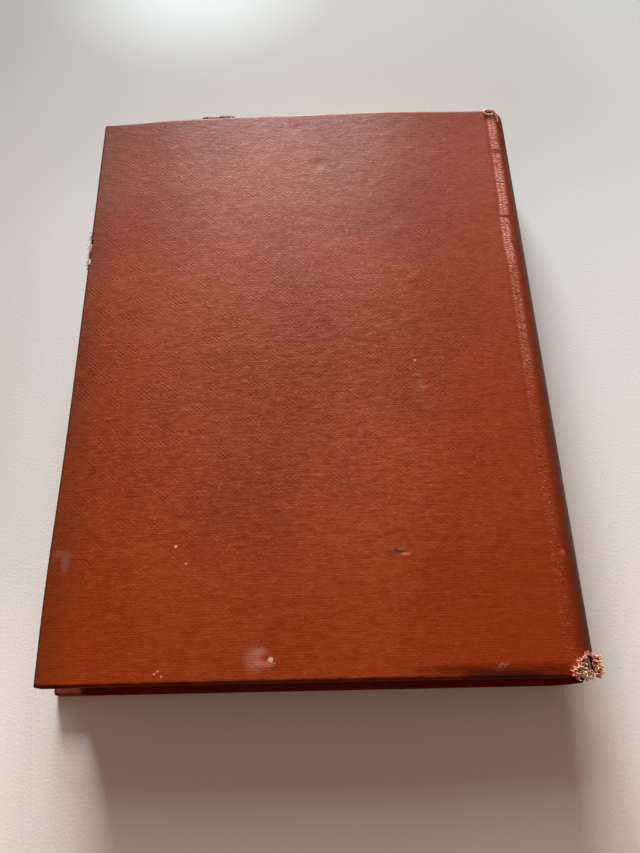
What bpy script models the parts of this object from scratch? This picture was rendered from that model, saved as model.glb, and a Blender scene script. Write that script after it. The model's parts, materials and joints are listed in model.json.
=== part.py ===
"""Pocket dictionary: a small cloth case-bound book, closed, lying on its front cover.

Metres, +Z up. +X runs from the fore-edge to the spine and +Y from the tail to the head.
The origin is at the bottom centre of the closed book.
"""

import math

import bmesh
import bpy
from mathutils import Vector

# the whole case
CASE_HEIGHT = 0.148  # tail to head, over the cloth
BOOK_THICKNESS = 0.0166  # over both covers, at their edges
COVER_WIDTH = 0.1046  # fore-edge to the end of the cloth at the joint
LEAN = 0.00115  # how far the front cover has slipped towards the fore-edge

# the layers of a cover
CLOTH = 0.0004
BOARD = 0.0012
PASTEDOWN = 0.0002
GLUE = 0.0002  # gap left between two pieces that are glued
CLEAR = 0.0003  # gap left between two pieces that only lie together
TURN_IN = 0.012  # cloth folded over a board's edge
ARRIS = 0.0006  # roundness of the cloth over a board's edge
CORNER = 0.0015  # roundness of a cover's corners, seen from above
INSIDE_CORNER = 0.0003  # least roundness of the corners of what lies inside a cover
BOARD_SETBACK = 0.0005  # from the end of the cloth to the board, at the joint
BACK_BOW = 0.00107  # how far the back cover has warped outwards in the middle
BOW_RUN = 0.026  # width over which the warp rises from a cover's edge

# the joints
HINGE_GAP = 0.00015  # from a hinge's axis to the end of the cover's cloth
SPINE_SETBACK = 0.0003  # from the back hinge's axis to the start of the spine
SPINE_DROP = 0.00035  # of the spine's top below the back cover's face

# the round spine
BULGE_TAIL = 0.0079
BULGE_HEAD = 0.0052
INLAY = 0.0005
INLAY_ANGLE = math.radians(58)  # the inlay, lining and mull end this far round
SHOULDER_ANGLE = math.radians(80)  # the shoulders are full from here to the joint
LINING = 0.0002
LINING_SHORT = 0.001  # of the block's head and tail
MULL = 0.00025
MULL_SHORT = 0.012

# the text block
SQUARE = 0.003  # from the case's head and tail to the leaves
FORE_SQUARE = 0.005  # from the fore-edge of the case to the leaves
FORE_EDGE_HOLLOW = 0.0015

# the tear in the tail cap: from the spine's start and the tail edge
TEAR_DEPTH_BELOW_TOP = 0.0068
TEAR = (
    (0.0002, -0.001),
    (0.0011, 0.0014),
    (0.0019, 0.0030),
    (0.0027, 0.0041),
    (0.0036, 0.0058),
    (0.0043, 0.0047),
    (0.0052, 0.0050),
    (0.0060, 0.0031),
    (0.0095, 0.0026),
    (0.0095, -0.001),
)

# how finely the pieces are made
COVER_STEPS = 16
CORNER_STEPS = 4
ARRIS_STEPS = 3
SPINE_STEPS = 26
FOLD_STEPS = 6
FORE_EDGE_STEPS = 10

# worked out from the above
COVER = 2 * CLOTH + 2 * GLUE + BOARD
COVER_END = HINGE_GAP + COVER_WIDTH  # hinge axis to fore-edge
SPINE_HALF = BOOK_THICKNESS / 2 - SPINE_DROP
CARD_ROOM = INLAY + 2 * GLUE
MIDDLE = BOOK_THICKNESS / 2
TAIL = -CASE_HEIGHT / 2
HEAD = CASE_HEIGHT / 2
SPINE_REACH = math.hypot(BULGE_TAIL, LEAN * SPINE_HALF / BOOK_THICKNESS)
BACK_HINGE_X = (LEAN + COVER_END - SPINE_SETBACK + LEAN / 2 - SPINE_REACH) / 2
SPINE_START = BACK_HINGE_X + SPINE_SETBACK


def remove_old_objects():
    for old in list(bpy.data.objects):
        bpy.data.objects.remove(old)


def linear(channel):
    return channel / 12.92 if channel <= 0.04045 else ((channel + 0.055) / 1.055) ** 2.4


def material(name, colour, roughness):
    made = bpy.data.materials.new(name)
    made.use_nodes = True
    shader = made.node_tree.nodes["Principled BSDF"]
    shader.inputs["Base Color"].default_value = [*map(linear, colour), 1]
    shader.inputs["Roughness"].default_value = roughness
    shader.inputs["Metallic"].default_value = 0
    return made


def new_object(name, mesh, finish, parent=None):
    made = bpy.data.objects.new(name, mesh)
    bpy.context.scene.collection.objects.link(made)
    made.parent = parent
    if finish:
        mesh.materials.append(finish)
    return made


def new_axis(name, x, z):
    axis = bpy.data.objects.new(name, None)
    axis.location = (x, 0, z)
    bpy.context.scene.collection.objects.link(axis)
    return axis


def wall(work, near, far, closed):
    """Joins two rows of points with a band of faces."""
    for i in range(len(near) if closed else len(near) - 1):
        j = (i + 1) % len(near)
        work.faces.new((near[i], near[j], far[j], far[i]))


def strip_cap(work, row):
    """Closes an open end with strips, each from a point to the one across from it."""
    last = len(row) - 1
    for i in range(len(row) // 2 - 1):
        work.faces.new((row[i], row[i + 1], row[last - i - 1], row[last - i]))


def finished_mesh(name, work):
    bmesh.ops.recalc_face_normals(work, faces=work.faces[:])
    work.normal_update()
    bmesh.ops.triangulate(work, faces=work.faces[:], ngon_method="EAR_CLIP")
    mesh = bpy.data.meshes.new(name)
    work.to_mesh(mesh)
    work.free()
    return mesh


def point_rows(work, rings):
    return [[work.verts.new(point) for point in ring] for ring in rings]


def loft(name, rings):
    """A closed solid through rings that all have the same number of points, with flat ends."""
    work = bmesh.new()
    rows = point_rows(work, rings)
    for near, far in zip(rows, rows[1:]):
        wall(work, near, far, closed=True)
    work.faces.new(rows[0])
    work.faces.new(rows[-1])
    return finished_mesh(name, work)


def smooth(share):
    share = min(max(share, 0), 1)
    return share * share * (3 - 2 * share)


def blend(share, near, far):
    return near + (far - near) * share


# ---- covers: x is measured back from the hinge axis, depth inwards from the outer face ----


def bow_at(x, bow):
    from_joint = -HINGE_GAP - x
    from_fore_edge = COVER_END + x
    return bow * smooth(from_joint / BOW_RUN) * smooth(from_fore_edge / BOW_RUN)


def half_outline(x_joint, inset):
    """Pairs of x and half height round a sheet's tail half, from the joint to the fore-edge."""
    end = inset - COVER_END
    half = CASE_HEIGHT / 2 - inset
    radius = max(CORNER - inset, INSIDE_CORNER)
    pairs = [(blend(i / COVER_STEPS, x_joint, end + radius), half) for i in range(COVER_STEPS)]
    for i in range(CORNER_STEPS + 1):
        angle = math.pi / 2 * i / CORNER_STEPS
        x = end + radius * (1 - math.sin(angle))
        pairs.append((x, half - radius * (1 - math.cos(angle))))
    return pairs


def outline(x_joint, inset, depth, inward, bow):
    """Points round a cover's three outer edges, from the joint's tail end to its head end."""
    pairs = half_outline(x_joint, inset)
    tail_half = [(x, -half, inward * (depth - bow_at(x, bow))) for x, half in pairs]
    return tail_half + [(x, -y, z) for x, y, z in reversed(tail_half)]


def sheet(name, x_joint, inset, near, far, inward, bow):
    """A flat sheet of a cover between two depths, bowed with it."""
    work = bmesh.new()
    rings = [outline(x_joint, inset, depth, inward, bow) for depth in (near, far)]
    rows = point_rows(work, rings)
    wall(work, *rows, closed=True)
    strip_cap(work, rows[0])
    strip_cap(work, rows[1])
    return finished_mesh(name, work)


def wrapped_profile():
    """Inset and depth pairs across the cover's cloth: its outer face's edge, the two rounded
    arrises, the turned-in edge, and back along the inside to the board's outer face."""
    pairs = []
    for i in range(ARRIS_STEPS + 1):
        angle = math.pi / 2 * i / ARRIS_STEPS
        pairs.append((ARRIS * (1 - math.sin(angle)), ARRIS * (1 - math.cos(angle))))
    pairs += [(inset, COVER - depth) for inset, depth in reversed(pairs)]
    pairs += [(TURN_IN, COVER), (TURN_IN, COVER - CLOTH), (CLOTH, COVER - CLOTH)]
    return [*pairs, (CLOTH, CLOTH)]


def wrapped_cloth(name, inward, bow):
    """A cover's cloth, turned in over three edges and open at the joint."""
    work = bmesh.new()
    rings = [outline(-HINGE_GAP, *pair, inward, bow) for pair in wrapped_profile()]
    rows = point_rows(work, rings)
    for near, far in zip(rows, rows[1:]):
        wall(work, near, far, closed=False)
    strip_cap(work, rows[0])
    strip_cap(work, rows[-1])
    work.faces.new([row[0] for row in rows] + [row[-1] for row in reversed(rows)])
    return finished_mesh(name, work)


def add_cover(side, hinge_x, hinge_z, inward, bow, finishes):
    axis = new_axis(side + "_cover_axis", hinge_x, hinge_z)
    cloth = wrapped_cloth(side + "_cover_cloth", inward, bow)
    new_object(side + "_cover_cloth", cloth, finishes["cloth"], axis)

    board_end = -HINGE_GAP - BOARD_SETBACK
    wrap = CLOTH + GLUE
    board = sheet(side + "_board", board_end, wrap, wrap, wrap + BOARD, inward, bow)
    new_object(side + "_board", board, finishes["board"], axis)

    inset = TURN_IN + CLEAR
    depth = wrap + BOARD + GLUE
    paper = sheet(side + "_pastedown", board_end, inset, depth, depth + PASTEDOWN, inward, bow)
    new_object(side + "_pastedown", paper, finishes["endpaper"], axis)


# ---- spine and text block: turn goes from -90 degrees at the front joint to +90 at the back ----


def leaned(x, y, z):
    """The book's slip: upright at the back cover's face, and furthest over at the front's."""
    return Vector((x - LEAN * (1 - z / BOOK_THICKNESS), y, z))


def spine_point(turn, y, depth):
    """A point this deep under the spine's outer surface."""
    bulge = blend((y - TAIL) / CASE_HEIGHT, BULGE_TAIL, BULGE_HEAD)
    across = Vector((math.cos(turn) / bulge, math.sin(turn) / SPINE_HALF)).normalized()
    x = bulge * math.cos(turn) - depth * across.x
    z = SPINE_HALF * math.sin(turn) - depth * across.y
    return leaned(SPINE_START + x, y, MIDDLE + z)


def shoulder_share(turn):
    """0 over the inlay, 1 over the shoulders."""
    return smooth((abs(turn) - INLAY_ANGLE) / (SHOULDER_ANGLE - INLAY_ANGLE))


def fold_depth(turn):
    """Thickness of the turned-in cloth: it closes up where the inlay ends."""
    return 2 * CLOTH + blend(shoulder_share(turn), CARD_ROOM, GLUE)


def turns(limit):
    return [blend(i / SPINE_STEPS, limit, -limit) for i in range(SPINE_STEPS + 1)]


def cap_fold(turn, radius, end, direction):
    """Half a circle of y and depth pairs round the folded end of the spine cloth."""
    middle = fold_depth(turn) / 2
    centre = end - direction * middle
    pairs = []
    for i in range(FOLD_STEPS + 1):
        angle = math.pi * i / FOLD_STEPS
        pairs.append((centre + direction * radius * math.sin(angle), middle - radius * math.cos(angle)))
    return pairs


def spine_cloth_outline(turn):
    """Closed outline, as y and depth, of the cloth and its turn-ins at the head and tail."""
    total = fold_depth(turn)
    outer = total / 2
    inner = outer - CLOTH
    head_arc = cap_fold(turn, outer, HEAD, 1)
    tail_arc = cap_fold(turn, outer, TAIL, -1)
    head_inside = cap_fold(turn, inner, HEAD, 1)
    tail_inside = cap_fold(turn, inner, TAIL, -1)
    head_lip = [(HEAD - TURN_IN, total), (HEAD - TURN_IN, total - CLOTH)]
    tail_lip = [(TAIL + TURN_IN, total - CLOTH), (TAIL + TURN_IN, total)]
    head_side = head_arc + head_lip + head_inside[::-1]
    return head_side + tail_inside + tail_lip + tail_arc[::-1]


def cut(target, cutter):
    cutter.hide_render = True
    cutter.display_type = "WIRE"
    boolean = target.modifiers.new(cutter.name, "BOOLEAN")
    boolean.operation = "DIFFERENCE"
    boolean.solver = "EXACT"
    boolean.object = cutter


def add_spine_cloth(finish):
    rings = []
    for turn in turns(math.pi / 2):
        rings.append([spine_point(turn, y, depth) for y, depth in spine_cloth_outline(turn)])
    cloth = new_object("spine_cloth", loft("spine_cloth", rings), finish)
    cut(cloth, add_tear_cutter())


def add_tear_cutter():
    """The frayed hole in the tail cap, cut through both layers of the cloth's upper quarter."""
    top = BOOK_THICKNESS + CLEAR
    low = BOOK_THICKNESS - TEAR_DEPTH_BELOW_TOP
    rings = [[(SPINE_START + x, TAIL + y, z) for x, y in TEAR] for z in (low, top)]
    return new_object("tail_tear", loft("tail_tear", rings), None)


def add_spine_layer(name, limit, end_gap, depth, thickness, finish):
    """A strip that follows the spine at one depth, short of the head and tail by end_gap."""
    rings = []
    low = TAIL + end_gap
    high = HEAD - end_gap
    for turn in turns(limit):
        outside = [spine_point(turn, y, depth) for y in (low, high)]
        inside = [spine_point(turn, y, depth + thickness) for y in (high, low)]
        rings.append(outside + inside)
    new_object(name, loft(name, rings), finish)


def swollen_top(y, high, from_x):
    """Points along the block's upper side, which has swelled to fill the warped back cover."""
    points = []
    for i in range(COVER_STEPS - 1, 0, -1):
        x = blend(i / COVER_STEPS, -HINGE_GAP, -COVER_END)
        if BACK_HINGE_X + x > from_x + CLEAR:
            points.append(Vector((BACK_HINGE_X + x, y, high + bow_at(x, BACK_BOW))))
    return points


def page_outline(y, back_depth):
    """The text block's section: hollow fore-edge, two sides, shoulders and round back."""
    low = COVER + CLEAR
    high = BOOK_THICKNESS - COVER - CLEAR
    fore_edge = BACK_HINGE_X - COVER_END + FORE_SQUARE
    points = []
    for i in range(FORE_EDGE_STEPS + 1):
        share = i / FORE_EDGE_STEPS
        hollow = FORE_EDGE_HOLLOW * (1 - (2 * share - 1) ** 2)
        points.append(leaned(fore_edge + hollow, y, blend(share, low, high)))
    points += swollen_top(y, high, points[-1].x)
    points.append(leaned(SPINE_START, y, high))
    for turn in turns(math.pi / 2):
        shoulder_depth = fold_depth(turn) + CLEAR
        depth = blend(shoulder_share(turn), back_depth, shoulder_depth)
        points.append(spine_point(turn, y, depth))
    points.append(leaned(SPINE_START, y, low))
    return points


def add_pages(back_depth, finish):
    rings = [page_outline(y, back_depth) for y in (TAIL + SQUARE, HEAD - SQUARE)]
    new_object("pages", loft("pages", rings), finish)


def add_block(finishes):
    """The text block with its linings, and the case's spine round it."""
    inlay_depth = CLOTH + GLUE
    lining_depth = fold_depth(0) + CLEAR
    mull_depth = lining_depth + LINING + GLUE
    pages_depth = mull_depth + MULL + GLUE
    add_pages(pages_depth, finishes["paper"])
    add_spine_layer(
        "mull", INLAY_ANGLE, SQUARE + MULL_SHORT, mull_depth, MULL, finishes["mull"]
    )
    add_spine_layer(
        "paper_lining", INLAY_ANGLE, SQUARE + LINING_SHORT, lining_depth, LINING, finishes["lining"]
    )
    add_spine_layer(
        "spine_inlay", INLAY_ANGLE, fold_depth(0) / 2, inlay_depth, INLAY, finishes["board"]
    )
    add_spine_cloth(finishes["cloth"])


def add_covers(finishes):
    add_cover("back", BACK_HINGE_X, BOOK_THICKNESS, -1, BACK_BOW, finishes)
    add_cover("front", BACK_HINGE_X - LEAN, 0, 1, 0, finishes)


remove_old_objects()
FINISHES = {
    "cloth": material("bookcloth", (0.56, 0.25, 0.17), 0.6),
    "board": material("grey_board", (0.55, 0.49, 0.41), 0.9),
    "endpaper": material("endpaper", (0.86, 0.80, 0.68), 0.85),
    "paper": material("page_edges", (0.84, 0.76, 0.62), 0.9),
    "lining": material("lining_paper", (0.62, 0.52, 0.40), 0.9),
    "mull": material("mull_gauze", (0.80, 0.75, 0.64), 0.95),
}
add_block(FINISHES)
add_covers(FINISHES)
bpy.context.view_layer.update()
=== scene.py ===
"""Pocket dictionary: a small cloth case-bound book, shut, lying on its front cover.

Metres, +Z up. +X runs from the fore-edge to the spine and +Y from the tail to the head.
The sections follow the book as it is made: case cloth, boards, linings, endpapers and leaves,
then the wear of the cloth, and last the table and the light.
"""

import json
import math

import bmesh
import bpy
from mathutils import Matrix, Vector, noise


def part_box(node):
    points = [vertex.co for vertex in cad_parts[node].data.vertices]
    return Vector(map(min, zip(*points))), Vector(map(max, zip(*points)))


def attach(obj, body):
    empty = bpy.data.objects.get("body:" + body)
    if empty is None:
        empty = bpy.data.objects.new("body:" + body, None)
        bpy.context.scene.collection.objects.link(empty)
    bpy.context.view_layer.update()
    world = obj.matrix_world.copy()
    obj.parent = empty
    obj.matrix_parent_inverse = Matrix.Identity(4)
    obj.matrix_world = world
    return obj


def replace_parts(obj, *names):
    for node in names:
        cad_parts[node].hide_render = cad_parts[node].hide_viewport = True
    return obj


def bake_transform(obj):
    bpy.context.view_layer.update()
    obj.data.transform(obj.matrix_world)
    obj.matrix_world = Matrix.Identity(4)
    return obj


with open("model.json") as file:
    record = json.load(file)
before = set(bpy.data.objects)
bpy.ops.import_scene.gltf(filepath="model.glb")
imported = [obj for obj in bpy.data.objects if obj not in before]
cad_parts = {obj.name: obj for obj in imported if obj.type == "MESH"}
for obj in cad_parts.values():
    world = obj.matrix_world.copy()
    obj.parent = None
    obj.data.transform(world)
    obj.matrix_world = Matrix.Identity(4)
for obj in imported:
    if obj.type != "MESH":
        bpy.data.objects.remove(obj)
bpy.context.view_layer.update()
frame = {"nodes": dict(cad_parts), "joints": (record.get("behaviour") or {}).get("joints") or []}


# ---- Camera ----
# A wide lens held over the tail edge of the book, looking steeply down at the back cover.

def placed(name, data):
    """Puts a new object into the scene, made of this mesh, lamp or camera."""
    made = bpy.data.objects.new(name, data)
    bpy.context.scene.collection.objects.link(made)
    return made


eye = bpy.data.cameras.new("eye")
eye.lens = 33.34
eye.sensor_width = 36
camera = placed("camera", eye)
camera.location = (0.00664, -0.09218, 0.17831)
camera.rotation_euler = (math.radians(24.309), math.radians(2.092), math.radians(-0.964))
bpy.context.scene.camera = camera


# ---- Case cloth ----
# One sheet of red bookcloth, glued over both boards and round the spine, and turned in at all
# four edges. It is made here in two halves that meet along the middle of the spine, because
# the sheet crosses both hinges.

MM = 0.001  # long tables below are in millimetres

BACK_LOW, BACK_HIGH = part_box("back_cover_cloth")
FRONT_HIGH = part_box("front_cover_cloth")[1]
SPINE_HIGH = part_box("spine_cloth")[1]
HINGES = {joint["name"]: Vector(joint["pos_m"]) for joint in frame["joints"]}
BACK_HINGE = HINGES["back_cover_hinge"]
FRONT_HINGE = HINGES["front_cover_hinge"]

TAIL = BACK_LOW.y
HEAD = BACK_HIGH.y
HEIGHT = HEAD - TAIL
FORE_EDGE = BACK_LOW.x
THICKNESS = BACK_HINGE.z
MIDDLE = THICKNESS / 2
LEAN = BACK_HINGE.x - FRONT_HINGE.x  # the front cover has slipped towards the fore-edge
COVER = FRONT_HIGH.z  # cloth, board and turn-in together
BOW = BACK_HIGH.z - THICKNESS  # the back cover has warped outwards
BOW_RUN = 0.026  # how far in from the fore-edge it rises
BOW_FALL = 0.034  # and how far it takes to fall again before the joint
COVER_END = BACK_HIGH.x  # where the cover's cloth reaches the joint
BACK_BEND = ((COVER_END - 0.0004, 0, THICKNESS), (COVER_END + 0.0012, 0, THICKNESS))
CLOTH = 0.0004
BACK_CORNER = 0.0007  # the back cover's corners are still sharp
FRONT_CORNER = 0.0008
ARRIS = 0.0006
TURN_IN = 0.012
FINE_STEP = 0.0003  # between rows of the mesh near the head and the tail

SPREAD = 0.0006  # the back board's fore-edge has spread outwards,
SPREAD_UP = 0.017  # most at this height over the tail,
SPREAD_REACH = 0.025  # and over this much of the edge,
SPREAD_IN = 0.030  # fading to nothing this far in

SPINE_START = BACK_HINGE.x + 0.0003
SPINE_HALF = SPINE_HIGH.z - MIDDLE
BULGE_TAIL = 0.0079
BULGE_HEAD = 0.0052
JOINT_TAIL = 0.0496  # the joint's groove runs a little askew from here
JOINT_HEAD = 0.0487
CREST = 0.00014  # the rise of the cloth beside the groove
CREST_FROM_GROOVE = 0.0012
CREST_HALF = 0.0009
DIP = 0.00010  # the groove's own depth
DIP_HALF = 0.0006
STEP_LEAD = 0.0003  # the cloth starts down from the board this far before the groove
STEP_RUN = 0.0016  # and comes down over this
SHOULDER_FOLD = 0.0010  # cloth folded on cloth, at the shoulders
SPINE_FOLD = 0.0017  # the same with the inlay card between
JOINT_FROM = 0.0460  # the plain board lies before this, and the joint after it
ROUND_FROM = math.radians(60)  # the joint has become the plain round spine from here on

# dents in the back cover: from the fore-edge, from the tail, radius and height, in millimetres
DENTS = (
    (52.8, 142.8, 1.0, -0.14),
    (58.7, 130.0, 1.2, -0.14),
    (78.7, 108.7, 1.6, 0.10),
    (81.4, 93.5, 1.4, 0.08),
    (80.5, 64.0, 1.5, -0.08),
)
# the tear at the tail: across from the start of the spine, and up from the tail, in millimetres
TAIL_TEAR = (
    (1.2, -1.0), (1.7, 0.8), (2.6, 2.2), (3.6, 3.4), (4.6, 4.3), (5.4, 4.8),
    (6.2, 4.3), (7.0, 3.7), (7.8, 2.8), (10.5, 2.4), (10.5, -1.0),
)
FRAY_UP = 0.105  # the middle of the frayed stretch of the fore-edge, over the tail
FRAY_HALF = 0.004
HEAD_HOLE = (-0.0002, 0.14690, 0.00110, 0.00066)  # across and up, then half its width and height


def smooth(share):
    share = min(max(share, 0.0), 1.0)
    return share * share * (3 - 2 * share)


def blend(share, near, far):
    return near + (far - near) * share


def hump(gap):
    """1 at no distance, falling away evenly on both sides."""
    return math.exp(-gap * gap)


def rough(x, y, size, seed):
    """Even, repeatable unevenness from -1 to 1, with lumps of one size."""
    return noise.noise(Vector((x / size, y / size, seed)))


def bulge_at(y):
    return blend((y - TAIL) / HEIGHT, BULGE_TAIL, BULGE_HEAD)


def joint_at(y):
    return blend((y - TAIL) / HEIGHT, JOINT_TAIL, JOINT_HEAD)


def bow_at(x):
    return BOW * smooth((COVER_END - x) / BOW_FALL) * smooth((x - FORE_EDGE) / BOW_RUN)


def spread_edge(x, y):
    """How far the back board's spread carries the cloth over it outwards."""
    fade = smooth((FORE_EDGE + SPREAD_IN - x) / SPREAD_IN)
    return SPREAD * hump((y - TAIL - SPREAD_UP) / SPREAD_REACH) * fade


def joint_height(x, y):
    """Height over the middle of the book, from the board's end across the joint."""
    past = x - joint_at(y)
    reach = max(x - SPINE_START, 0) / bulge_at(y)
    spine = SPINE_HALF * math.sqrt(max(1 - reach * reach, 0))
    step = (MIDDLE - SPINE_HALF) * (1 - smooth((past + STEP_LEAD) / STEP_RUN))
    crest = CREST * hump((past - CREST_FROM_GROOVE) / CREST_HALF)
    return spine + step + crest - DIP * hump(past / DIP_HALF)


def spine_point(across, up, lift=0.0):
    """A place lifted off the cloth, measured from the start of the spine and the tail."""
    x, y = SPINE_START + across, TAIL + up
    height = joint_height(x, y) if across < 0.985 * bulge_at(y) else 0.0
    return Vector((x, y, MIDDLE + height + lift))


def section(station, y):
    """x and height over the middle of the cloth's outer face, at a station across the sheet."""
    kind, value = station
    if kind == "board":
        return value, MIDDLE
    if kind == "joint":
        end = SPINE_START + bulge_at(y) * math.cos(ROUND_FROM)
        x = blend(value, JOINT_FROM, end)
        return x, joint_height(x, y)
    return SPINE_START + bulge_at(y) * math.cos(value), SPINE_HALF * math.sin(value)


def stations():
    """Where the sheet's columns lie: on the board by x, on the joint by share, then by angle."""
    found = []
    x = FORE_EDGE + ARRIS
    while x < JOINT_FROM:
        found.append(("board", x))
        x += 0.00025 if x - FORE_EDGE < FRONT_CORNER else 0.0009
    found += [("joint", i / 26) for i in range(27)]
    found += [("round", ROUND_FROM * (1 - i / 24)) for i in range(1, 24)]
    return found + [("round", 0.004), ("round", 0.0)]


def heights():
    """Where the sheet's rows lie: close together near the tail and the head."""
    fine = [TAIL + ARRIS + FINE_STEP * i for i in range(24)]
    rest = 150
    end = HEAD - ARRIS - FINE_STEP * 5
    found = fine + [blend(i / rest, fine[-1], end) for i in range(1, rest + 1)]
    return found + [end + FINE_STEP * i for i in range(1, 6)]


def board_share(station):
    """1 where the cloth lies on a board, 0 on the spine."""
    kind, value = station
    if kind == "joint":
        return 1 - smooth((value - 0.36) / 0.22)
    return 1.0 if kind == "board" else 0.0


def fold_depth(station):
    """How thick the folded edge is: over a board, over the inlay, or cloth on cloth."""
    kind, value = station
    inlay = smooth((ROUND_FROM - value) / 0.35) if kind == "round" else 0.0
    return blend(board_share(station), blend(inlay, SHOULDER_FOLD, SPINE_FOLD), COVER)


def fold_radius(station):
    """Square over a board, and all but a half round over the spine."""
    return blend(board_share(station), 0.46 * fold_depth(station), ARRIS)


def dents(x, y):
    """How far the back cover's face is out of true, upwards."""
    lift = 0.00005 * rough(x, y, 0.022, 3.1) + 0.00002 * rough(x, y, 0.006, 8.7)
    for along, up, radius, height in DENTS:
        gap = math.hypot(x - FORE_EDGE - along * MM, (y - TAIL - up * MM) / 1.3) / (radius * MM)
        lift += height * MM * hump(gap)
    bruise = smooth((x - FORE_EDGE - 0.070) / 0.012) * smooth((TAIL + 0.0030 - y) / 0.0026)
    return lift - 0.00030 * bruise


def sheet_point(station, y, depth, back):
    """A point this deep under the cloth's outer face, on the back or the front half."""
    kind = station[0]
    x, height = section(station, y)
    bulge = bulge_at(y)
    turn = math.acos(min(max(x - SPINE_START, 0) / bulge, 1))
    normal = Vector((math.cos(turn) / bulge, math.sin(turn) / SPINE_HALF)).normalized()
    way = 1 if back else -1
    z = MIDDLE + way * height
    if kind == "board":
        lean = -spread_edge(x, y) if back else -LEAN
    else:
        lean = -LEAN * max(1 - z / THICKNESS, 0)
    lift = 0
    if back and kind != "round":
        lift = bow_at(x)
        if depth < COVER / 2:
            lift += dents(x, y)
    return Vector((x + lean - depth * normal[0], y, z + way * (lift - depth * normal[1])))


def rounded(point, back):
    """Brings a square outline's corners in to their round shape."""
    edge = FORE_EDGE if back else FORE_EDGE - LEAN
    corner = BACK_CORNER if back else FRONT_CORNER
    side = 1 if point.y > 0 else -1
    dx = edge + corner - point.x
    dy = side * point.y - (HEAD - corner)
    if dx <= 0 or dy <= 0:
        return point
    radius = max(dx, dy)
    turn = math.pi / 4 * min(dx, dy) / radius
    less, more = radius * math.sin(turn), radius * math.cos(turn)
    dx, dy = (less, more) if dx < dy else (more, less)
    return Vector((edge + corner - dx, side * (HEAD - corner + dy), point.z))


def edge_profile(station):
    """Inset and depth pairs round a folded edge: arris, side, arris and the turned-in strip."""
    fold = fold_depth(station)
    radius = fold_radius(station)
    pairs = []
    for i in range(1, 7):
        angle = math.pi / 2 * i / 6
        pairs.append((radius * (1 - math.sin(angle)), radius * (1 - math.cos(angle))))
    pairs.append((0, fold / 2))
    pairs += [(inset, fold - depth) for inset, depth in reversed(pairs[:-1])]
    pairs.append((radius, fold))
    return pairs + [(blend(i / 7, radius, TURN_IN), fold) for i in range(1, 8)]


def inset_station(station, inset):
    """The station of a ring further in, which still has to end at its own corner."""
    kind, value = station
    if kind != "board":
        return station
    start = FORE_EDGE + ARRIS
    return kind, blend((value - start) / (COVER_END - start), FORE_EDGE + inset, COVER_END)


def inset_y(y, inset):
    """The height of a row, moved so that the first and last lie this far in from the edges."""
    return blend((y - TAIL - ARRIS) / (HEIGHT - 2 * ARRIS), TAIL + inset, HEAD - inset)


def inside(outline, x, y):
    """Whether a point lies inside an outline."""
    found = False
    for (x1, y1), (x2, y2) in zip(outline, outline[1:] + outline[:1]):
        if (y1 > y) != (y2 > y) and x < x1 + (y - y1) * (x2 - x1) / (y2 - y1):
            found = not found
    return found


def torn_away(c, back):
    """Whether a face round this centre is gone: at the tail cap, head cap or frayed fore-edge."""
    x = c.x - SPINE_START + 0.0003 * rough(c.x, c.y, 0.0006, c.z / 0.0006)
    y = c.y - TAIL + 0.0004 * rough(c.x, c.y, 0.0005, c.z / 0.0006 + 7)
    deep = 0.0068 + 0.0050 * smooth((x - 0.0030) / 0.0030) * smooth((0.0020 - y) / 0.0008)
    if c.z > THICKNESS - deep and inside(TAIL_TEAR, x / MM, y / MM):
        return True
    across, up, wide, tall = HEAD_HOLE
    reach = math.hypot((c.x - SPINE_START - across) / wide, (c.y - TAIL - up) / tall)
    if reach < 1 and c.z > MIDDLE + joint_height(c.x, c.y) - 0.0004:
        return True
    at_edge = back and c.x < FORE_EDGE + 0.0005 + 0.0004 * rough(0, c.y, 0.0015, 4.4)
    on_stretch = abs(c.y - TAIL - FRAY_UP) < FRAY_HALF and c.z > THICKNESS - 0.0016
    return at_edge and on_stretch and rough(c.y, c.z, 0.0008, 2) > -0.25


def built(name, work):
    """Turns finished mesh work into an object."""
    mesh = bpy.data.meshes.new(name)
    work.to_mesh(mesh)
    work.free()
    return placed(name, mesh)


def half_case(name, back):
    """Half of the case cloth: the faces, then the folded edges as rings round three sides."""
    work = bmesh.new()
    across = stations()
    up = heights()

    def corner(station, y, inset, depth):
        return work.verts.new(rounded(sheet_point(station, inset_y(y, inset), depth, back), back))

    # the face's first and last rows follow the folded edge's own radius
    face = [[corner(station, y, fold_radius(station), 0) for station in across] for y in up]
    for near, far in zip(face, face[1:]):
        for i in range(len(near) - 1):
            work.faces.new((near[i], near[i + 1], far[i + 1], far[i]))
    last = face[0][::-1] + [row[0] for row in face[1:-1]] + face[-1]
    places = [(station, up[0]) for station in across[::-1]]
    places += [(across[0], y) for y in up[1:-1]]
    places += [(station, up[-1]) for station in across]
    profiles = [edge_profile(station) for station, y in places]
    for step in range(len(profiles[0])):
        ring = []
        for (station, y), profile in zip(places, profiles):
            inset, depth = profile[step]
            ring.append(corner(inset_station(station, inset), y, inset, depth))
        for i in range(len(ring) - 1):
            work.faces.new((last[i], last[i + 1], ring[i + 1], ring[i]))
        last = ring
    gone = [f for f in work.faces if torn_away(f.calc_center_median(), back)]
    bmesh.ops.delete(work, geom=gone, context="FACES")
    bmesh.ops.delete(work, geom=[v for v in work.verts if not v.link_faces], context="VERTS")
    bmesh.ops.recalc_face_normals(work, faces=work.faces[:])
    centre = Vector((0, 0, THICKNESS if back else 0))
    middle = min(work.faces, key=lambda f: (f.calc_center_median() - centre).length)
    if (middle.normal.z > 0) != back:
        bmesh.ops.reverse_faces(work, faces=work.faces[:])
    return built(name, work)


def linear(percent):
    channel = percent / 100
    return channel / 12.92 if channel <= 0.04045 else ((channel + 0.055) / 1.055) ** 2.4


def colour(red, green, blue):
    """A colour by how bright each part of it looks, in percent."""
    return (linear(red), linear(green), linear(blue), 1)


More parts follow.
